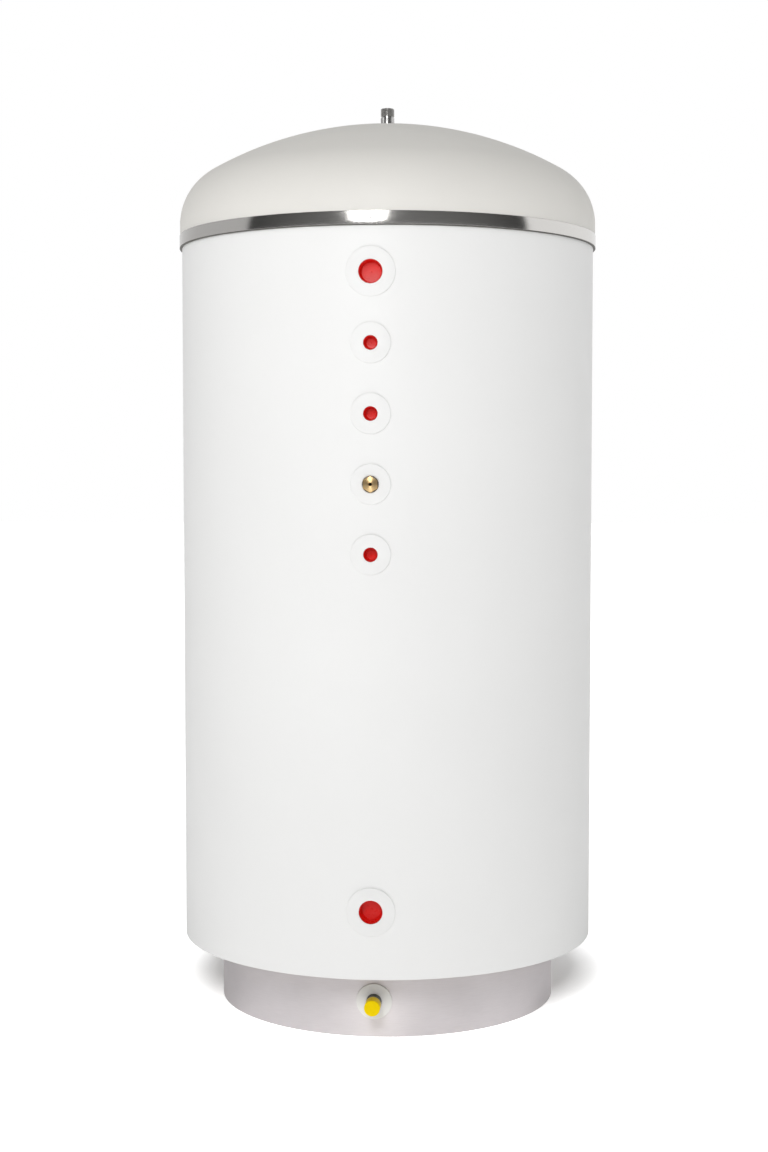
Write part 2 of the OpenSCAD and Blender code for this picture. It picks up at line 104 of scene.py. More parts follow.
SOCKET_WAY_R = {"large": 21 * MM, "small": 11.15 * MM}
THREAD_PITCH = {"large": 2.309 * MM, "small": 1.814 * MM}
THREAD_DEPTH = {"large": 1.479 * MM, "small": 1.162 * MM}
RIDGE_SHARE = 0.48
HEX_FLATS = 32 * MM
HEX_HEIGHT = 8 * MM
HEX_CHAMFER = 1.2 * MM
HEX_SLOPE = math.tan(math.radians(30))
HEX_BORE_R = 3.5 * MM
BORE_LEAD = 0.8 * MM
SPIGOT_R = 11.76 * MM
SPIGOT_LEN = 16 * MM
POCKET_R = 5 * MM
POCKET_END = 3 * MM
CAP_WALL = 1.2 * MM
DRAIN_BORE_R = 14.02 * MM
DRAIN_THREAD = 28 * MM
COIL_TUBE_R = 13.45 * MM
COIL_TURNS = 7
COIL_BEND = 45 * MM

# Floor: its brightness, and the distances in metres over which it changes
FLOOR_HALF = 40
FLOOR_GLOW, FOOT_GLOW = 0.4, 0.68
FLOOR_SHADE, FLOOR_WHITE = 0.1, 0.95
SHADE_BACK = 0.25
FADE_FROM, FADE_TO = 0.46, 0.6
GLOW_FROM, GLOW_TO = 0.75, 1.5
AHEAD_FROM, AHEAD_TO = -0.1, -0.35
FOOT_FROM, FOOT_TO = 0.45, 0.85

# Surroundings: brightness, and the parts of a unit direction over which it changes
BACKDROP_LEFT, BACKDROP_RIGHT = 0.59, 1.05
BACKDROP_SIDE = 0.8
BACKDROP_FROM, BACKDROP_TO = -0.2, -0.15
ROOM_FRONT, ROOM_SIDE = 0.2, 0.03
ROOM_FROM, ROOM_TO = -1.0, -0.1
CEILING = 0.5
CEILING_FROM, CEILING_TO = 0.45, 0.8

# Mesh fineness
ROUND_STEPS = 256
PORT_STEPS = 96
ARC_STEPS = 40
FILLET_STEPS = 5
COLLAR_FILLET_STEPS = 4
RIVET_STEPS, RIVET_ARC_STEPS = 24, 8
THREAD_TURN_STEPS, THREAD_CREST_STEPS = 64, 12
COIL_TURN_STEPS, COIL_BEND_STEPS, COIL_TUBE_STEPS = 64, 10, 20
SHARP_ANGLE = math.radians(38)


def span(node, axis):
    """Lowest and highest coordinate of a CAD node on one axis."""
    low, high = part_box(node)
    return low[axis], high[axis]


def outer_radius(node):
    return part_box(node)[1].x


def middle_z(node):
    return sum(span(node, 2)) / 2


def front_span(node):
    """Nearest and farthest distance of a port piece from the upright axis, towards the front."""
    low, high = span(node, 1)
    return -high, -low


# Outlines in the half plane (radius, height)
def rounded(corners):
    """Closed outline whose corners are (radius, height) or (radius, height, fillet radius)."""
    points = []
    for i, corner in enumerate(corners):
        here = Vector(corner[:2])
        if len(corner) == 2:
            points.append(tuple(here))
            continue
        back = (Vector(corners[i - 1][:2]) - here).normalized()
        ahead = (Vector(corners[(i + 1) % len(corners)][:2]) - here).normalized()
        half = back.angle(ahead) / 2
        centre = here + (back + ahead).normalized() * (corner[2] / math.sin(half))
        first = here + back * (corner[2] / math.tan(half)) - centre
        last = here + ahead * (corner[2] / math.tan(half)) - centre
        for k in range(FILLET_STEPS + 1):
            arm = first.slerp(last, k / FILLET_STEPS) if k else first
            points.append(tuple(centre + arm.normalized() * corner[2]))
    return points


def dished(radius, knuckle, crown, hole, base):
    """Points from the tangent line at height base, round the knuckle and over the crown to a hole."""
    drop = math.sqrt((crown - knuckle) ** 2 - (radius - knuckle) ** 2)
    meet = math.atan2(drop, radius - knuckle)
    end = math.acos(hole / crown)
    points = []
    for k in range(ARC_STEPS + 1):
        a = meet * k / ARC_STEPS
        points.append((radius - knuckle + knuckle * math.cos(a), base + knuckle * math.sin(a)))
    for k in range(1, ARC_STEPS + 1):
        a = meet + (end - meet) * k / ARC_STEPS
        points.append((crown * math.cos(a), base - drop + crown * math.sin(a)))
    return points


# Meshes
def plain_mesh(name, shape):
    """Mesh from a bmesh, smooth apart from its sharp edges."""
    bmesh.ops.recalc_face_normals(shape, faces=shape.faces)
    mesh = bpy.data.meshes.new(name)
    shape.to_mesh(mesh)
    shape.free()
    smooth(mesh)
    return mesh


def smooth(mesh):
    mesh.shade_smooth()
    mesh.set_sharp_from_angle(angle=SHARP_ANGLE)


def skin(shape, rings, steps):
    """Faces between neighbouring rings, where a ring of one vertex is a pole."""
    for low, high in zip(rings, rings[1:]):
        for k in range(steps):
            after = k + 1
            loop = [low[k % len(low)], low[after % len(low)], high[after % len(high)], high[k % len(high)]]
            corners = list(dict.fromkeys(loop))
            if len(corners) > 2:
                shape.faces.new(corners)


def revolve(name, outline, steps=ROUND_STEPS):
    """Closed outline turned about Z, where a point on the axis is one vertex."""
    shape = bmesh.new()
    turns = [math.tau * k / steps for k in range(steps)]
    rings = []
    for radius, height in outline:
        spots = [(radius * math.cos(a), radius * math.sin(a), height) for a in turns]
        rings.append([shape.verts.new(p) for p in (spots if radius > TINY else [(0, 0, height)])])
    skin(shape, rings + rings[:1], steps)
    return plain_mesh(name, shape)


def linked(name, data):
    """New object in the scene."""
    made = bpy.data.objects.new(name, data)
    bpy.context.scene.collection.objects.link(made)
    return made


def applied(carrier):
    """Plain mesh that an object's modifiers give; the object goes."""
    depsgraph = bpy.context.evaluated_depsgraph_get()
    mesh = bpy.data.meshes.new_from_object(carrier.evaluated_get(depsgraph), depsgraph=depsgraph)
    bpy.data.objects.remove(carrier)
    smooth(mesh)
    return mesh


def walled(name, sheet, thickness):
    """Rolled sheet given its wall, inwards from its face, with sharp rims."""
    carrier = linked(name, sheet)
    wall = carrier.modifiers.new("wall", "SOLIDIFY")
    wall.thickness = thickness
    wall.offset = -1
    wall.use_even_offset = True
    return applied(carrier)


def at_port(mesh, z):
    """Turns a mesh made along +Z so that it points out of the front at height z."""
    mesh.transform(Matrix.Translation((0, 0, z)) @ Matrix.Rotation(math.pi / 2, 4, "X"))
    return mesh


def joined(name, *meshes):
    """One mesh of several."""
    shape = bmesh.new()
    for mesh in meshes:
        shape.from_mesh(mesh)
    whole = bpy.data.meshes.new(name)
    shape.to_mesh(whole)
    shape.free()
    smooth(whole)
    return whole


def holed_sheet(name, radius, z0, z1, holes, patch=48 * MM, cells=8, columns=240):
    """Upright sheet rolled to a radius, with round holes (height, radius) down its front."""
    half = math.asin(patch / radius)
    front = [-half + 2 * half * k / cells for k in range(cells)]
    around = [half + (math.tau - 2 * half) * k / columns for k in range(columns)]
    angles = front + around
    levels = {z: [z - patch + 2 * patch * k / cells for k in range(cells + 1)] for z, _ in holes}
    rows = sorted({z0, z1, *(level for found in levels.values() for level in found)})
    shape = bmesh.new()

    def rolled(x, z):
        return shape.verts.new((x, -math.sqrt(radius ** 2 - x ** 2), z))

    def in_hole_patch(column, z):
        return column < cells and any(found[0] <= z < found[-1] for found in levels.values())

    grid = {}
    for row, z in enumerate(rows):
        for column, angle in enumerate(angles):
            inside = any(found[0] < z < found[-1] for found in levels.values()) and 0 < column < cells
            if not inside:
                spot = (radius * math.sin(angle), -radius * math.cos(angle), z)
                grid[column, row] = shape.verts.new(spot)
    for row in range(len(rows) - 1):
        for column in range(len(angles)):
            if in_hole_patch(column, rows[row]):
                continue
            after = (column + 1) % len(angles)
            above = row + 1
            shape.faces.new([grid[column, row], grid[after, row], grid[after, above], grid[column, above]])
    for z, hole in holes:
        found = [rows.index(level) for level in levels[z]]
        border = [grid[k, found[0]] for k in range(cells)]
        border += [grid[cells, row] for row in found[:-1]]
        border += [grid[k, found[-1]] for k in range(cells, 0, -1)]
        border += [grid[0, row] for row in found[:0:-1]]
        rim = []
        for vert in border:
            away = math.atan2(vert.co.z - z, vert.co.x)
            rim.append(rolled(hole * math.cos(away), z + hole * math.sin(away)))
        for k in range(len(border)):
            after = (k + 1) % len(border)
            shape.faces.new([border[k], border[after], rim[after], rim[k]])
    return plain_mesh(name, shape)


# Node trees: where most values of a noise lie, and the length at which a wave of scale 1 repeats
NOISE_LOW, NOISE_HIGH = 0.3, 0.7
WAVE_PERIOD = math.tau / 20


def linear(text):
    """Linear RGBA of an sRGB hex colour."""
    parts = [int(text[i:i + 2], 16) / 255 for i in (1, 3, 5)]
    return (*[c / 12.92 if c <= 0.04045 else ((c + 0.055) / 1.055) ** 2.4 for c in parts], 1)


def add(tree, kind, inputs=None, **settings):
    """Adds a node: settings are its properties, inputs maps its sockets to values or other sockets."""
    made = tree.nodes.new(kind)
    for key, value in settings.items():
        setattr(made, key, value)
    for key, value in (inputs or {}).items():
        if isinstance(value, bpy.types.NodeSocket):
            tree.links.new(value, made.inputs[key])
        else:
            made.inputs[key].default_value = value
    return made


def per(size_mm):
    """Texture scale at which a pattern's features have a size in millimetres."""
    return 1 / (size_mm * MM)


def material_start(name, colour, roughness, sockets=None):
    """New material with its shader's plain values and the Object coordinates for its patterns."""
    made = bpy.data.materials.new(name)
    made.use_nodes = True
    tree = made.node_tree
    shader = tree.nodes["Principled BSDF"]
    shader.inputs["Base Color"].default_value = linear(colour)
    shader.inputs["Roughness"].default_value = roughness
    for key, value in (sockets or {}).items():
        shader.inputs[key].default_value = value
    place = add(tree, "ShaderNodeTexCoord").outputs["Object"]
    return made, tree, shader, place


def cloud_colour(tree, shader, place, size_mm, light, dark):
    """Slow drift between two tones of the base colour."""
    cloud = add(tree, "ShaderNodeTexNoise", {"Vector": place, "Scale": per(size_mm), "Detail": 3})
    tones = {0: cloud.outputs["Fac"], 6: linear(dark), 7: linear(light)}
    tone = add(tree, "ShaderNodeMix", tones, data_type="RGBA")
    tree.links.new(tone.outputs[2], shader.inputs["Base Color"])


def uneven_roughness(tree, shader, place, size_mm, low, high):
    """Gloss that wanders between two roughness values."""
    cloud = add(tree, "ShaderNodeTexNoise", {"Vector": place, "Scale": per(size_mm), "Detail": 4})
    level = add(tree, "ShaderNodeMapRange", {
        "Value": cloud.outputs["Fac"], "From Min": NOISE_LOW, "From Max": NOISE_HIGH,
        "To Min": low, "To Max": high})
    tree.links.new(level.outputs["Result"], shader.inputs["Roughness"])


def pebbled(tree, shader, place, size_mm, depth_mm, strength):
    """Fine relief of one grain size."""
    grain = add(tree, "ShaderNodeTexNoise", {"Vector": place, "Scale": per(size_mm), "Detail": 2})
    relief = add(tree, "ShaderNodeBump", {
        "Height": grain.outputs["Fac"], "Distance": depth_mm * MM, "Strength": strength})
    tree.links.new(relief.outputs["Normal"], shader.inputs["Normal"])


def lengthwise_lines(tree, shader, place, line_mm, run_mrad, low, high, depth_mm, strength):
    """Lines that run round the upright axis for so many thousandths of a radian: uneven gloss, fine relief."""
    parts = add(tree, "ShaderNodeSeparateXYZ", {0: place}).outputs
    behind = add(tree, "ShaderNodeMath", {0: parts["Y"], 1: -1.0}, operation="MULTIPLY").outputs[0]
    turn = add(tree, "ShaderNodeMath", {0: parts["X"], 1: behind}, operation="ARCTAN2").outputs[0]
    along = add(tree, "ShaderNodeMath", {0: turn, 1: line_mm / run_mrad}, operation="MULTIPLY").outputs[0]
    unrolled = add(tree, "ShaderNodeCombineXYZ", {"X": along, "Z": parts["Z"]}).outputs[0]
    lines = add(tree, "ShaderNodeTexNoise", {
        "Vector": unrolled, "Scale": per(line_mm), "Detail": 5, "Roughness": 0.65})
    level = add(tree, "ShaderNodeMapRange", {
        "Value": lines.outputs["Fac"], "From Min": NOISE_LOW, "From Max": NOISE_HIGH,
        "To Min": low, "To Max": high})
    tree.links.new(level.outputs["Result"], shader.inputs["Roughness"])
    relief = add(tree, "ShaderNodeBump", {
        "Height": lines.outputs["Fac"], "Distance": depth_mm * MM, "Strength": strength})
    tree.links.new(relief.outputs["Normal"], shader.inputs["Normal"])


# Materials, each named for the real one; the steel fittings and the foam are darkened as painted shade
def powder_coated_sheet():
    # Polyester powder on steel sheet: an even satin white with a faint orange peel.
    # The real peel is about 2 mm; it is drawn at 6 mm so that it shows.
    made, tree, shader, place = material_start("powder_coated_sheet", "#E9E9E8", 0.42, {
        "Specular IOR Level": 0.2})
    cloud_colour(tree, shader, place, size_mm=420, light="#ECECEB", dark="#E7E7E6")
    uneven_roughness(tree, shader, place, size_mm=90, low=0.36, high=0.48)
    pebbled(tree, shader, place, size_mm=6, depth_mm=0.05, strength=0.25)
    return made


def thermoformed_abs():
    # Vacuum-formed ABS sheet: warm light grey, nearly matt, with a slight pebble from the forming.
    made, tree, shader, place = material_start("thermoformed_abs", "#DDDBD6", 0.58, {
        "Specular IOR Level": 0.3})
    cloud_colour(tree, shader, place, size_mm=260, light="#E0DED9", dark="#DAD8D3")
    uneven_roughness(tree, shader, place, size_mm=60, low=0.52, high=0.64)
    pebbled(tree, shader, place, size_mm=5, depth_mm=0.05, strength=0.2)
    return made


def moulded_abs():
    # Injection-moulded ABS: nearly the jacket's own white, with a fine spark-eroded grain.
    made, tree, shader, place = material_start("moulded_abs", "#E8E8E7", 0.45, {
        "Specular IOR Level": 0.2})
    cloud_colour(tree, shader, place, size_mm=40, light="#EBEBEA", dark="#E5E5E4")
    uneven_roughness(tree, shader, place, size_mm=12, low=0.4, high=0.5)
    pebbled(tree, shader, place, size_mm=2.5, depth_mm=0.03, strength=0.2)
    return made


def mirror_stainless():
    # Stainless strip with a bright polish: a clear mirror with hairlines along the strip.
    made, tree, shader, place = material_start("mirror_stainless", "#CFCDCA", 0.08, {"Metallic": 1.0})
    lengthwise_lines(tree, shader, place, line_mm=1.2, run_mrad=60, low=0.08, high=0.17,
                     depth_mm=0.01, strength=0.12)
    return made


def belt_ground_stainless():
    # Rolled stainless sheet with a belt-ground finish along its length, dulled by handling.
    made, tree, shader, place = material_start("belt_ground_stainless", "#E2DFE0", 0.66, {
        "Metallic": 1.0, "Anisotropic": 0.45, "Anisotropic Rotation": 0.25})
    around = add(tree, "ShaderNodeVectorMath", {0: place, 1: (0, 0, 1)}, operation="CROSS_PRODUCT")
    tree.links.new(around.outputs[0], shader.inputs["Tangent"])
    cloud_colour(tree, shader, place, size_mm=120, light="#E8E4E6", dark="#D9D5D7")
    lengthwise_lines(tree, shader, place, line_mm=2.5, run_mrad=90, low=0.6, high=0.72,
                     depth_mm=0.03, strength=0.25)
    return made


def turned_stainless():
    # Lathe-turned stainless pipe end: bright, with close rings round the axis.
    made, tree, shader, place = material_start("turned_stainless", "#B6B5B4", 0.2, {"Metallic": 1.0})
    lengthwise_lines(tree, shader, place, line_mm=0.6, run_mrad=2400, low=0.14, high=0.26,
                     depth_mm=0.01, strength=0.2)
    return made


def pickled_stainless():
    # Pickled stainless plate: matt pale grey with cloudy patches from the acid.
    made, tree, shader, place = material_start("pickled_stainless", "#B5B4B2", 0.45, {"Metallic": 1.0})
    cloud_colour(tree, shader, place, size_mm=80, light="#BDBCBA", dark="#A4A3A2")
    uneven_roughness(tree, shader, place, size_mm=30, low=0.38, high=0.55)
    return made


def plain_steel():
    # Machined steel fitting, its colour darkened as painted shade for the drain stub, which sits in shadow
    # under the jacket's overhang.
    made, tree, shader, place = material_start("plain_steel", "#6A6866", 0.38, {"Metallic": 1.0})
    cloud_colour(tree, shader, place, size_mm=9, light="#747270", dark="#5C5A57")
    uneven_roughness(tree, shader, place, size_mm=4, low=0.3, high=0.48)
    return made


def lathe_faced_brass(z):
    # Bar brass faced on a lathe: warm gold, with tool rings round the bore that spread light in a fan.
    # The real rings are about 0.2 mm apart; they are drawn 6.3 mm apart so that they show.
    made, tree, shader, place = material_start("lathe_faced_brass", "#CBAF80", 0.36, {
        "Metallic": 1.0, "Anisotropic": 0.95})
    shift = add(tree, "ShaderNodeMapping", {"Vector": place, "Location": (0, 0, -z)})
    outwards = add(tree, "ShaderNodeVectorMath", {0: shift.outputs[0], 1: (1, 0, 1)}, operation="MULTIPLY")
    tree.links.new(outwards.outputs[0], shader.inputs["Tangent"])
    rings = add(tree, "ShaderNodeTexWave", {
        "Vector": shift.outputs[0], "Scale": per(6.283) * WAVE_PERIOD, "Distortion": 0.6},
        wave_type="RINGS", rings_direction="Y")
    relief = add(tree, "ShaderNodeBump", {
        "Height": rings.outputs["Fac"], "Distance": 0.04 * MM, "Strength": 0.5})
    tree.links.new(relief.outputs["Normal"], shader.inputs["Normal"])
    cloud_colour(tree, shader, place, size_mm=7, light="#D6BC90", dark="#B5935F")
    return made


def polyethylene(name, light, dark, gloss):
    # Soft injection-moulded polyethylene: a waxy, rather dull gloss.
    made, tree, shader, place = material_start(name, light, 0.3, {"Specular IOR Level": gloss})
    cloud_colour(tree, shader, place, size_mm=9, light=light, dark=dark)
    uneven_roughness(tree, shader, place, size_mm=5, low=0.24, high=0.38)
    pebbled(tree, shader, place, size_mm=1.5, depth_mm=0.02, strength=0.15)
    return made


def soft_moulding(name, light, dark, roughness):
    # Rubber, PVC or fibre seals: dull and slightly mottled.
    made, tree, shader, place = material_start(name, light, roughness)
    cloud_colour(tree, shader, place, size_mm=6, light=light, dark=dark)
    pebbled(tree, shader, place, size_mm=1.5, depth_mm=0.04, strength=0.3)
    return made


def poured_polyurethane():
    # Poured polyurethane foam, dead matt, with small closed cells; darkened from its own tan to a dark tan as
    # painted shade, so that the base ring's top, which reflects it, looks shaded.
    made, tree, shader, place = material_start("poured_polyurethane", "#746547", 0.9)
    cells = add(tree, "ShaderNodeTexVoronoi", {"Vector": place, "Scale": per(4)})
    relief = add(tree, "ShaderNodeBump", {
        "Height": cells.outputs["Distance"], "Distance": 0.6 * MM, "Strength": 0.6})
    tree.links.new(relief.outputs["Normal"], shader.inputs["Normal"])
    cloud_colour(tree, shader, place, size_mm=60, light="#7D6E4E", dark="#67593D")
    return made


SENSOR_Z = middle_z("sensor_boss")
FINISH = {
    "white_jacket": powder_coated_sheet(),
    "grey_dome": thermoformed_abs(),
    "white_plastic": moulded_abs(),
    "polished_band": mirror_stainless(),
    "brushed_stainless": belt_ground_stainless(),
    "polished_nipple": turned_stainless(),
    "stainless_vessel": pickled_stainless(),
    "steel_fitting": plain_steel(),
    "turned_brass": lathe_faced_brass(SENSOR_Z),
    "red_plastic": polyethylene("red_polyethylene", "#E21E16", "#D4160F", 0.22),
    "yellow_plastic": polyethylene("yellow_polyethylene", "#F4D600", "#E8C700", 0.05),
    "dark_edging": soft_moulding("grey_pvc_edging", "#56544F", "#4A4844", 0.5),
    "dark_rubber": soft_moulding("black_rubber", "#242423", "#1B1B1A", 0.6),
    "fibre_seal": soft_moulding("pressed_fibre", "#6B3A22", "#552C19", 0.7),
    "rigid_foam": poured_polyurethane(),
}


# Geometry Nodes
def geometry_tree(name, sizes):
    """New tree with a geometry, a material and one number input for each named size."""
    tree = bpy.data.node_groups.new(name, "GeometryNodeTree")
    tree.interface.new_socket("Geometry", in_out="OUTPUT", socket_type="NodeSocketGeometry")
    tree.interface.new_socket("Geometry", in_out="INPUT", socket_type="NodeSocketGeometry")
    tree.interface.new_socket("Material", in_out="INPUT", socket_type="NodeSocketMaterial")
    for size in sizes:
        tree.interface.new_socket(size, in_out="INPUT", socket_type="NodeSocketFloat")
    return tree, tree.nodes.new("NodeGroupInput").outputs


def close_tree(tree, geometry, material):
    """Ends a tree: real geometry with its material."""
    real = add(tree, "GeometryNodeRealizeInstances", {"Geometry": geometry})
    painted = add(tree, "GeometryNodeSetMaterial", {"Geometry": real.outputs[0], "Material": material})
    add(tree, "NodeGroupOutput", {"Geometry": painted.outputs[0]})
    return tree


def grown(name, tree, material, sizes, base=None):
    """Plain mesh that a tree gives for these sizes, from a base curve or mesh where it needs one."""
    carrier = linked(name, base or bpy.data.meshes.new(name))
    modifier = carrier.modifiers.new("form", "NODES")
    modifier.node_group = tree
    sockets = {s.name: s.identifier for s in tree.interface.items_tree if s.in_out == "INPUT"}
    modifier[sockets["Material"]] = material
    for size, value in sizes.items():
        modifier[sockets[size]] = value
    return applied(carrier)


def screw_thread_tree():
    """Round-crested ridge wound round Z on a root radius, its half width a share of the pitch."""
    tree, given = geometry_tree("screw_thread", ["Radius", "Pitch", "Length", "Depth"])
    turns = add(tree, "ShaderNodeMath", {0: given["Length"], 1: given["Pitch"]}, operation="DIVIDE")
    helix = add(tree, "GeometryNodeCurveSpiral", {
        "Resolution": THREAD_TURN_STEPS, "Rotations": turns.outputs[0], "Height": given["Length"],
        "Start Radius": given["Radius"], "End Radius": given["Radius"]})
    upright = add(tree, "GeometryNodeSetCurveNormal", {"Curve": helix.outputs[0]}, mode="Z_UP")
    crest = add(tree, "GeometryNodeCurvePrimitiveCircle", {"Resolution": THREAD_CREST_STEPS, "Radius": 1.0})
    half = add(tree, "ShaderNodeMath", {0: given["Pitch"], 1: RIDGE_SHARE}, operation="MULTIPLY")
    size = add(tree, "ShaderNodeCombineXYZ", {"X": given["Depth"], "Y": half.outputs[0], "Z": 1.0})
    section = add(tree, "GeometryNodeTransform", {"Geometry": crest.outputs[0], "Scale": size.outputs[0]})
    ridge = add(tree, "GeometryNodeCurveToMesh", {
        "Curve": upright.outputs[0], "Profile Curve": section.outputs[0], "Fill Caps": True})
    return close_tree(tree, ridge.outputs[0], given["Material"])


def collar_tree():
    """Flat ring with rounded edges, bent to an upright wall and set at a height on its front."""
    tree, given = geometry_tree("collar", [
        "Wall radius", "Outer radius", "Hole radius", "Thickness", "Edge", "Height"])
    radii = {0: given["Outer radius"], 1: given["Hole radius"]}
    total = add(tree, "ShaderNodeMath", radii, operation="ADD").outputs[0]
    mean = add(tree, "ShaderNodeMath", {0: total, 1: 0.5}, operation="MULTIPLY").outputs[0]
    width = add(tree, "ShaderNodeMath", radii, operation="SUBTRACT").outputs[0]
    path = add(tree, "GeometryNodeCurvePrimitiveCircle", {"Resolution": PORT_STEPS, "Radius": mean})
    upright = add(tree, "GeometryNodeSetCurveNormal", {"Curve": path.outputs[0]}, mode="Z_UP")
    strip = add(tree, "GeometryNodeCurvePrimitiveQuadrilateral", {
        "Width": width, "Height": given["Thickness"]})
    soft = add(tree, "GeometryNodeFilletCurve", {
        "Curve": strip.outputs[0], "Count": COLLAR_FILLET_STEPS, "Radius": given["Edge"]}, mode="POLY")
    ring = add(tree, "GeometryNodeCurveToMesh", {
        "Curve": upright.outputs[0], "Profile Curve": soft.outputs[0]})
    spot = add(tree, "ShaderNodeSeparateXYZ", {0: add(tree, "GeometryNodeInputPosition").outputs[0]}).outputs
    half_thick = add(tree, "ShaderNodeMath", {0: given["Thickness"], 1: 0.5}, operation="MULTIPLY").outputs[0]
    proud = add(tree, "ShaderNodeMath", {0: spot["Z"], 1: half_thick}, operation="ADD").outputs[0]
    reach = add(tree, "ShaderNodeMath", {0: given["Wall radius"], 1: proud}, operation="ADD").outputs[0]
    square = add(tree, "ShaderNodeMath", {0: reach, 1: 2.0}, operation="POWER").outputs[0]
    side = add(tree, "ShaderNodeMath", {0: spot["X"], 1: spot["X"]}, operation="MULTIPLY").outputs[0]
    rest = add(tree, "ShaderNodeMath", {0: square, 1: side}, operation="SUBTRACT").outputs[0]
    depth = add(tree, "ShaderNodeMath", {0: rest}, operation="SQRT").outputs[0]
    front = add(tree, "ShaderNodeMath", {0: depth, 1: -1.0}, operation="MULTIPLY").outputs[0]
    up = add(tree, "ShaderNodeMath", {0: spot["Y"], 1: given["Height"]}, operation="ADD").outputs[0]
    place = add(tree, "ShaderNodeCombineXYZ", {"X": spot["X"], "Y": front, "Z": up}).outputs[0]
    bent = add(tree, "GeometryNodeSetPosition", {"Geometry": ring.outputs[0], "Position": place})
    return close_tree(tree, bent.outputs[0], given["Material"])


def rivet_tree():
    """One rivet in front and one behind, heads outwards, from a rivet made along +Z."""
    tree, given = geometry_tree("rivets", ["Radius", "Height"])
    behind = add(tree, "ShaderNodeMath", {0: given["Radius"], 1: -1.0}, operation="MULTIPLY").outputs[0]
    start = add(tree, "ShaderNodeCombineXYZ", {"Y": behind}).outputs[0]
    end = add(tree, "ShaderNodeCombineXYZ", {"Y": given["Radius"]}).outputs[0]
    line = add(tree, "GeometryNodeCurvePrimitiveLine", {"Start": start, "End": end})
    spots = add(tree, "GeometryNodeCurveToPoints", {"Curve": line.outputs[0]}, mode="EVALUATED")
    outwards = add(tree, "FunctionNodeAlignRotationToVector",
                   {"Vector": add(tree, "GeometryNodeInputPosition").outputs[0]}, axis="Z")
    heads = add(tree, "GeometryNodeInstanceOnPoints", {
        "Points": spots.outputs[0], "Instance": given["Geometry"], "Rotation": outwards.outputs[0]})
    up = add(tree, "ShaderNodeCombineXYZ", {"Z": given["Height"]}).outputs[0]
    raised = add(tree, "GeometryNodeTransform", {"Geometry": heads.outputs[0], "Translation": up})
    return close_tree(tree, raised.outputs[0], given["Material"])


def bent_tube_tree():
    """Round tube along a base curve."""
    tree, given = geometry_tree("bent_tube", ["Radius"])
    section = add(tree, "GeometryNodeCurvePrimitiveCircle", {
        "Resolution": COIL_TUBE_STEPS, "Radius": given["Radius"]})
    upright = add(tree, "GeometryNodeSetCurveNormal", {"Curve": given["Geometry"]}, mode="Z_UP")
    tube = add(tree, "GeometryNodeCurveToMesh", {
        "Curve": upright.outputs[0], "Profile Curve": section.outputs[0], "Fill Caps": True})
    return close_tree(tree, tube.outputs[0], given["Material"])


SCREW_THREAD = screw_thread_tree()
COLLAR = collar_tree()
RIVETS = rivet_tree()
BENT_TUBE = bent_tube_tree()


# Pieces
def piece(name, mesh, *nodes, body=CYLINDER):
    """Shown piece that stands for CAD nodes, takes their finish and rides on their body."""
    slot = SLOT_OF[nodes[0]]
    made = linked(name, mesh)
    made.data.materials.clear()
    made.data.materials.append(FINISH[slot])
    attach(made, body)
    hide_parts(*nodes)


def build_jacket():
    z0, z1 = span("outer_jacket", 2)
    sockets = [f"{port}_boss" for port in (*PLUGGED_PORTS, "sensor")]
    holes = [(middle_z(socket), outer_radius(socket) + CLEARANCE) for socket in sockets]
    sheet = holed_sheet("jacket_sheet", outer_radius("outer_jacket"), z0, z1, holes)
    piece("jacket_sheet", walled("jacket_sheet", sheet, JACKET_T), "outer_jacket")


def build_skirt():
    z0, z1 = span("base_skirt", 2)
    hole = (middle_z("drain_nipple"), outer_radius("drain_nipple") + 2 * CLEARANCE)
    sheet = holed_sheet("base_ring", outer_radius("base_skirt"), z0, z1, [hole])
    piece("base_ring", walled("base_ring", sheet, SKIRT_T), "base_skirt")


def build_dome():
    radius = outer_radius("dome_cover")
    base = span("dome_cover", 2)[0]
    tangent = base + DOME_STRAIGHT
    outer = dished(radius, DOME_KNUCKLE, DOME_CROWN, DOME_HOLE_R, tangent)
    inner = dished(radius - DOME_T, DOME_KNUCKLE - DOME_T, DOME_CROWN - DOME_T, DOME_HOLE_R, tangent)
    foot_edge = 1 * MM
    foot = rounded([(radius - DOME_T, base), (radius, base, foot_edge), (radius, tangent)])[:-1]
    piece("dome_shell", revolve("dome_shell", foot + outer + inner[::-1]), "dome_cover")


def build_band():
    radius = outer_radius("trim_band")
    z0, z1 = span("trim_band", 2)
    inner = radius - BAND_T
    edge = 0.4 * MM
    outline = rounded([(inner, z0, edge), (radius, z0, edge), (radius, z1, edge), (inner, z1, edge)])
    piece("trim_strap", revolve("trim_strap", outline), "trim_band")


def build_rivets():
    head_r = outer_radius("band_rivets")
    proud = -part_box("band_rivets")[0].y
    face = outer_radius("trim_band")
    height = proud - face
    outline = [(0, -RIVET_SHANK_LEN), (RIVET_SHANK_R, -RIVET_SHANK_LEN), (RIVET_SHANK_R, 0)]
    for k in range(RIVET_ARC_STEPS):
        a = math.pi / 2 * k / RIVET_ARC_STEPS
        outline.append((head_r * math.cos(a), height * math.sin(a)))
    outline.append((0, height))
    rivet = revolve("rivet", outline, steps=RIVET_STEPS)
    heads = grown("rivet_heads", RIVETS, FINISH["polished_band"],
                  {"Radius": face, "Height": middle_z("trim_band")}, base=rivet)
    piece("rivet_heads", heads, "band_rivets")


def build_rim():
    radius = outer_radius("rim_ring")
    z0, z1 = span("rim_ring", 2)
    inner = outer_radius("foam_body") - RIM_SEAT
    edge = 0.9 * MM
    outline = rounded([(inner, z0), (radius, z0, edge), (radius, z1, edge), (inner, z1)])
    piece("rim_edging", revolve("rim_edging", outline), "rim_ring")


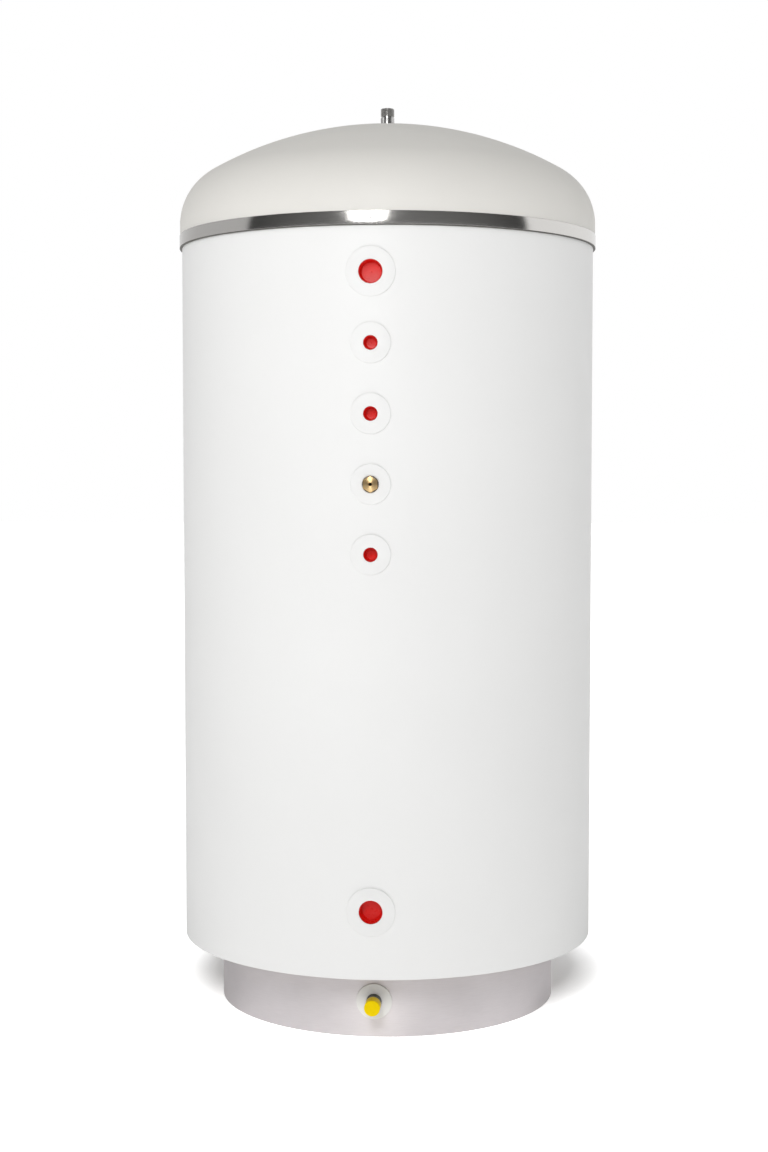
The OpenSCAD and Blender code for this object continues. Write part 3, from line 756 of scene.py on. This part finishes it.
def thread_on(name, radius, size, start, length, slot, inwards=False):
    """Thread ridge between two heights on Z, on a wall whose crest or core has this radius."""
    depth = THREAD_DEPTH[size]
    root = radius + depth if inwards else radius - depth
    ridge = grown(name, SCREW_THREAD, FINISH[slot], {
        "Radius": root, "Pitch": THREAD_PITCH[size], "Length": length - THREAD_PITCH[size], "Depth": depth})
    ridge.transform(Matrix.Translation((0, 0, start + THREAD_PITCH[size] / 2)))
    return ridge


def build_top_nipple():
    radius = outer_radius("top_nipple")
    bore = radius - NIPPLE_WALL
    z0, z1 = span("top_nipple", 2)
    thread_z = z1 - NIPPLE_THREAD
    root = radius - THREAD_DEPTH["large"]
    edge = 0.6 * MM
    groove_z, groove_r = thread_z - GROOVE_W, radius - GROOVE_D
    outline = rounded([
        (bore, z0), (radius, z0), (radius, groove_z, edge), (groove_r, groove_z),
        (groove_r, thread_z), (root, thread_z), (root, z1, edge), (bore, z1, edge)])
    body = revolve("nipple_body", outline, PORT_STEPS)
    ridge = thread_on("nipple_ridge", radius, "large", thread_z, NIPPLE_THREAD, "polished_nipple")
    piece("crown_nipple", joined("crown_nipple", body, ridge), "top_nipple")


def build_grommet():
    z0, z1 = span("nipple_grommet", 2)
    lip = outer_radius("nipple_grommet")
    inner = outer_radius("top_nipple") + CLEARANCE
    lip_z = z0 + DOME_T + CLEARANCE
    lip_edge, top_edge, bore_edge = 0.1 * MM, 0.8 * MM, 0.5 * MM
    outline = rounded([
        (inner, z0), (GROMMET_NECK, z0), (GROMMET_NECK, lip_z), (lip, lip_z, lip_edge),
        (lip - GROMMET_SLOPE, z1, top_edge), (inner, z1, bore_edge)])
    piece("crown_grommet", revolve("crown_grommet", outline, PORT_STEPS), "nipple_grommet")


def build_collars():
    holes = {f"{port}_rosette": SOCKET_MOUTH[size][0] for port, size in PLUGGED_PORTS.items()}
    holes["sensor_rosette"] = HEX_FLATS / math.sqrt(3) + CLEARANCE
    holes["drain_rosette"] = outer_radius("drain_nipple") + 2 * CLEARANCE
    for node, hole in holes.items():
        wall = outer_radius("base_skirt" if node == "drain_rosette" else "outer_jacket") + CLEARANCE
        mesh = grown(node, COLLAR, FINISH["white_plastic"], {
            "Wall radius": wall, "Outer radius": outer_radius(node), "Hole radius": hole,
            "Thickness": front_span(node)[1] - wall, "Edge": COLLAR_EDGE, "Height": middle_z(node)})
        piece(node.replace("rosette", "collar"), mesh, node)


def build_plug(port):
    """Tapered cup with a gate mark on its floor."""
    node = f"{port}_plug"
    tip, front = front_span(node)
    lip = outer_radius(node)
    end = lip - PLUG_DRAFT
    floor = tip + PLUG_WALL
    tip_edge, lip_edge, floor_edge, gate_edge = 0.8 * MM, 0.3 * MM, 1.5 * MM, 0.2 * MM
    outline = rounded([
        (0, tip), (end, tip, tip_edge), (lip, front, lip_edge), (lip - PLUG_WALL, front, lip_edge),
        (end - PLUG_WALL, floor, floor_edge), (GATE_R, floor), (GATE_TOP_R, floor + GATE_H, gate_edge),
        (0, floor + GATE_H)])
    mesh = at_port(revolve(f"{port}_stopper", outline, PORT_STEPS), middle_z(node))
    piece(f"{port}_stopper", mesh, node, body=node)


def build_socket(port, size):
    """Welded socket: a plain mouth for the plug, then its thread and its waterway."""
    node = f"{port}_boss"
    root, face = front_span(node)
    radius = outer_radius(node)
    way_r = SOCKET_WAY_R[size]
    mouth_r, mouth_depth = SOCKET_MOUTH[size]
    core_r, core_len = SOCKET_CORE[size]
    floor = face - mouth_depth
    core_end = floor - core_len
    cut_r = core_r + THREAD_DEPTH[size]
    edge = 0.3 * MM
    outline = rounded([
        (way_r, root), (radius, root), (radius, face, edge), (mouth_r, face, edge), (mouth_r, floor),
        (cut_r, floor), (cut_r, core_end), (way_r, core_end)])
    body = revolve(f"{port}_socket_body", outline, PORT_STEPS)
    ridge = thread_on(f"{port}_ridge", core_r, size, core_end, core_len, "steel_fitting", inwards=True)
    piece(f"{port}_socket", at_port(joined(f"{port}_socket", body, ridge), middle_z(node)), node)


def build_sensor_pocket():
    """Hexagon with a chamfered face, then the spigot and the closed tube behind it."""
    tip, face = front_span("sensor_pocket")
    seat = face - HEX_HEIGHT
    flat = HEX_FLATS / 2
    crown_r = flat - HEX_CHAMFER
    bore_end = tip + POCKET_END
    shape = bmesh.new()
    turns = [math.tau * k / PORT_STEPS for k in range(PORT_STEPS)]

    def corner_reach(a):
        return flat / math.cos((a + math.pi / 6) % (math.pi / 3) - math.pi / 6)

    def even(radius, height):
        return [(radius, height)] * PORT_STEPS

    reaches = [corner_reach(a) for a in turns]
    rows = [
        [(0, bore_end)],
        even(HEX_BORE_R, bore_end),
        even(HEX_BORE_R, face - BORE_LEAD),
        even(HEX_BORE_R + BORE_LEAD, face),
        even(crown_r, face),
        [(reach, face - (reach - crown_r) * HEX_SLOPE) for reach in reaches],
        [(reach, seat) for reach in reaches],
        even(SPIGOT_R, seat),
        even(SPIGOT_R, seat - SPIGOT_LEN),
        even(POCKET_R, seat - SPIGOT_LEN),
        even(POCKET_R, tip),
        [(0, tip)],
    ]
    rings = []
    for row in rows:
        spots = [(r * math.cos(a), r * math.sin(a), z) for (r, z), a in zip(row, turns)]
        rings.append([shape.verts.new(spot) for spot in spots])
    skin(shape, rings, PORT_STEPS)
    piece("sensor_hexagon", at_port(plain_mesh("sensor_hexagon", shape), SENSOR_Z), "sensor_pocket")


def build_drain():
    """Threaded drain nipple and the cap over it."""
    weld, end = front_span("drain_nipple")
    radius = outer_radius("drain_nipple")
    z = middle_z("drain_nipple")
    thread_end = end - DRAIN_THREAD
    root = radius - THREAD_DEPTH["large"]
    thread_edge, bore_edge = 0.4 * MM, 0.3 * MM
    outline = rounded([
        (DRAIN_BORE_R, weld), (radius, weld), (radius, thread_end), (root, thread_end),
        (root, end, thread_edge), (DRAIN_BORE_R, end, bore_edge)])
    body = revolve("drain_nipple_body", outline, PORT_STEPS)
    ridge = thread_on("drain_ridge", radius, "large", thread_end, DRAIN_THREAD, "steel_fitting")
    piece("drain_spigot", at_port(joined("drain_spigot", body, ridge), z), "drain_nipple")

    lip, tip = front_span("drain_cap")
    cap_r = outer_radius("drain_cap")
    bore = cap_r - CAP_WALL
    lip_edge, end_edge = 0.5 * MM, 1.6 * MM
    outline = rounded([
        (bore, lip), (cap_r, lip, lip_edge), (cap_r, tip, end_edge), (0, tip), (0, tip - CAP_WALL),
        (bore, tip - CAP_WALL)])
    cap = at_port(revolve("drain_stopper", outline, PORT_STEPS), z)
    piece("drain_stopper", cap, "drain_cap", body="drain_cap")


def build_coil():
    """Round tube on the coil's middle line: from the lower socket, up the turns, to the upper one."""
    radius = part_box("heating_coil")[1].x - COIL_TUBE_R
    root = front_span("coil_flow_boss")[0]
    low, high = middle_z("coil_return_boss"), middle_z("coil_flow_boss")
    bend_y = math.sqrt((radius + COIL_BEND) ** 2 - COIL_BEND ** 2)
    bend_turn = math.asin(bend_y / (radius + COIL_BEND))
    lead = math.pi / 2 - bend_turn
    sweep = math.tau * COIL_TURNS - 2 * lead
    steps = COIL_TURNS * COIL_TURN_STEPS
    entry = [(0, -root)]
    for k in range(COIL_BEND_STEPS):
        a = math.pi - bend_turn * k / COIL_BEND_STEPS
        entry.append((COIL_BEND + COIL_BEND * math.cos(a), -bend_y + COIL_BEND * math.sin(a)))
    points = [(x, y, low) for x, y in entry]
    for k in range(steps + 1):
        a = -math.pi / 2 + lead + sweep * k / steps
        points.append((radius * math.cos(a), radius * math.sin(a), low + (high - low) * k / steps))
    points += [(-x, y, high) for x, y in reversed(entry)]
    line = bpy.data.curves.new("coil_line", "CURVE")
    line.dimensions = "3D"
    route = line.splines.new("POLY")
    route.points.add(len(points) - 1)
    for spot, point in zip(route.points, points):
        spot.co = (*point, 1)
    tube = grown("coil_tube", BENT_TUBE, FINISH["stainless_vessel"], {"Radius": COIL_TUBE_R}, base=line)
    piece("coil_tube", tube, "heating_coil")


build_jacket()
build_skirt()
build_dome()
build_band()
build_rivets()
build_rim()
build_top_nipple()
build_grommet()
build_collars()
for port_name, port_size in PLUGGED_PORTS.items():
    build_plug(port_name)
    build_socket(port_name, port_size)
build_sensor_pocket()
build_drain()
build_coil()

for node_name, node_object in NODES.items():
    if not node_object.hide_render:
        node_object.data.materials.clear()
        node_object.data.materials.append(FINISH[SLOT_OF[node_name]])


# Stage, light and camera
def build_floor():
    """White floor with a soft shade behind the base; its glow, unseen by the camera, lights the base."""
    corners = [(x * FLOOR_HALF, y * FLOOR_HALF, 0) for x, y in ((-1, -1), (1, -1), (1, 1), (-1, 1))]
    mesh = bpy.data.meshes.new("floor")
    mesh.from_pydata(corners, [], [(0, 1, 2, 3)])
    floor = linked("floor", mesh)
    paint, tree, shader, place = material_start("matt_white_floor", "#F4F4F4", 0.7)
    cloud_colour(tree, shader, place, size_mm=900, light="#F5F5F5", dark="#F2F2F2")
    shader.inputs["Emission Color"].default_value = (1, 1, 1, 1)
    back = add(tree, "ShaderNodeMapping", {"Vector": place, "Location": (0, -SHADE_BACK, 0)}).outputs[0]
    from_shade = add(tree, "ShaderNodeVectorMath", {0: back}, operation="LENGTH").outputs["Value"]
    fade = add(tree, "ShaderNodeMapRange", {
        "Value": from_shade, "From Min": FADE_FROM, "From Max": FADE_TO,
        "To Min": FLOOR_SHADE, "To Max": FLOOR_WHITE}).outputs[0]
    clear = add(tree, "ShaderNodeMapRange", {
        "Value": from_shade, "From Min": GLOW_FROM, "From Max": GLOW_TO, "To Max": FLOOR_GLOW}).outputs[0]
    depth = add(tree, "ShaderNodeSeparateXYZ", {0: place}).outputs["Y"]
    ahead = add(tree, "ShaderNodeMapRange", {
        "Value": depth, "From Min": AHEAD_FROM, "From Max": AHEAD_TO}).outputs[0]
    away = add(tree, "ShaderNodeVectorMath", {0: place}, operation="LENGTH").outputs["Value"]
    near = add(tree, "ShaderNodeMapRange", {
        "Value": away, "From Min": FOOT_FROM, "From Max": FOOT_TO,
        "To Min": FOOT_GLOW, "To Max": FLOOR_GLOW}).outputs[0]
    foot = add(tree, "ShaderNodeMath", {0: near, 1: ahead}, operation="MULTIPLY").outputs[0]
    lit = add(tree, "ShaderNodeMath", {0: clear, 1: foot}, operation="MAXIMUM").outputs[0]
    seen = add(tree, "ShaderNodeLightPath").outputs["Is Camera Ray"]
    glow = add(tree, "ShaderNodeMix", {0: seen, 2: lit, 3: fade}, data_type="FLOAT").outputs[0]
    tree.links.new(glow, shader.inputs["Emission Strength"])
    mesh.materials.append(paint)


def softbox(name, azimuth, distance, height, width, tall, power, aim_z=1.0, fall_off=0.0):
    """Rectangular soft light that faces the axis and fades over a share of its width at each side."""
    lamp = bpy.data.lights.new(name, "AREA")
    lamp.shape = "RECTANGLE"
    lamp.size, lamp.size_y = width, tall
    lamp.energy = power
    made = linked(name, lamp)
    a = math.radians(azimuth)
    made.location = (distance * math.sin(a), -distance * math.cos(a), height)
    made.rotation_euler = (Vector((0, 0, aim_z)) - made.location).to_track_quat("-Z", "Y").to_euler()
    made.visible_camera = False
    if fall_off:
        lamp.use_nodes = True
        tree = lamp.node_tree
        face = add(tree, "ShaderNodeNewGeometry").outputs["Parametric"]
        across = add(tree, "ShaderNodeSeparateXYZ", {0: face}).outputs["X"]
        # 0 at either side of the lamp, 0.5 in its middle
        inwards = add(tree, "ShaderNodeMath", {0: across, 1: 0.5}, operation="PINGPONG").outputs[0]
        level = add(tree, "ShaderNodeMapRange", {"Value": inwards, "From Max": fall_off},
                    interpolation_type="SMOOTHSTEP")
        tree.links.new(level.outputs[0], tree.nodes["Emission"].inputs["Strength"])


def build_world():
    """White studio behind the cylinder, a dim room in front of it; the camera sees plain white."""
    world = bpy.data.worlds.new("studio")
    bpy.context.scene.world = world
    world.use_nodes = True
    tree = world.node_tree
    direction = add(tree, "ShaderNodeTexCoord").outputs["Generated"]
    turned = add(tree, "ShaderNodeMapping", {
        "Vector": direction, "Rotation": (0, 0, -CAMERA_AZIMUTH)}).outputs[0]
    way = add(tree, "ShaderNodeSeparateXYZ", {0: turned}).outputs
    backdrop = add(tree, "ShaderNodeMapRange", {
        "Value": way["X"], "From Min": -BACKDROP_SIDE, "From Max": BACKDROP_SIDE,
        "To Min": BACKDROP_LEFT, "To Max": BACKDROP_RIGHT}).outputs[0]
    room = add(tree, "ShaderNodeMapRange", {
        "Value": way["Y"], "From Min": ROOM_FROM, "From Max": ROOM_TO,
        "To Min": ROOM_FRONT, "To Max": ROOM_SIDE}).outputs[0]
    behind = add(tree, "ShaderNodeMapRange", {
        "Value": way["Y"], "From Min": BACKDROP_FROM, "From Max": BACKDROP_TO}).outputs[0]
    around = add(tree, "ShaderNodeMix", {0: behind, 2: room, 3: backdrop}, data_type="FLOAT").outputs[0]
    above = add(tree, "ShaderNodeMapRange", {
        "Value": way["Z"], "From Min": CEILING_FROM, "From Max": CEILING_TO},
        interpolation_type="SMOOTHSTEP").outputs[0]
    level = add(tree, "ShaderNodeMix", {0: above, 2: around, 3: CEILING}, data_type="FLOAT").outputs[0]
    seen = add(tree, "ShaderNodeLightPath").outputs["Is Camera Ray"]
    shown = add(tree, "ShaderNodeMix", {0: seen, 2: level, 3: 1.0}, data_type="FLOAT").outputs[0]
    tree.links.new(shown, tree.nodes["Background"].inputs["Strength"])
    tree.nodes["Background"].inputs["Color"].default_value = (1, 1, 1, 1)


def build_camera():
    lens = bpy.data.cameras.new("photo_camera")
    lens.sensor_width = SENSOR_MM
    lens.lens = FOCAL_PX / max(PHOTO_W, PHOTO_H) * SENSOR_MM
    camera = linked("photo_camera", lens)
    right, ahead = math.sin(CAMERA_AZIMUTH), math.cos(CAMERA_AZIMUTH)
    camera.location = (CAMERA_DISTANCE * right, -CAMERA_DISTANCE * ahead, EYE_HEIGHT)
    turn = CAMERA_AZIMUTH + math.atan(AXIS_PX / FOCAL_PX)
    camera.rotation_euler = (math.pi / 2 - CAMERA_PITCH, 0, turn)
    bpy.context.scene.camera = camera


build_floor()
build_world()
softbox("front_softbox", azimuth=-5.5, distance=3.7, height=2.6, width=1.4, tall=1.4, power=86,
        aim_z=-0.1, fall_off=0.3)
softbox("left_softbox", azimuth=-70, distance=4.0, height=4.2, width=2.0, tall=2.0, power=20)
softbox("right_softbox", azimuth=75, distance=4.0, height=4.2, width=2.0, tall=2.0, power=8)
build_camera()
bpy.context.scene.view_settings.view_transform = "Standard"
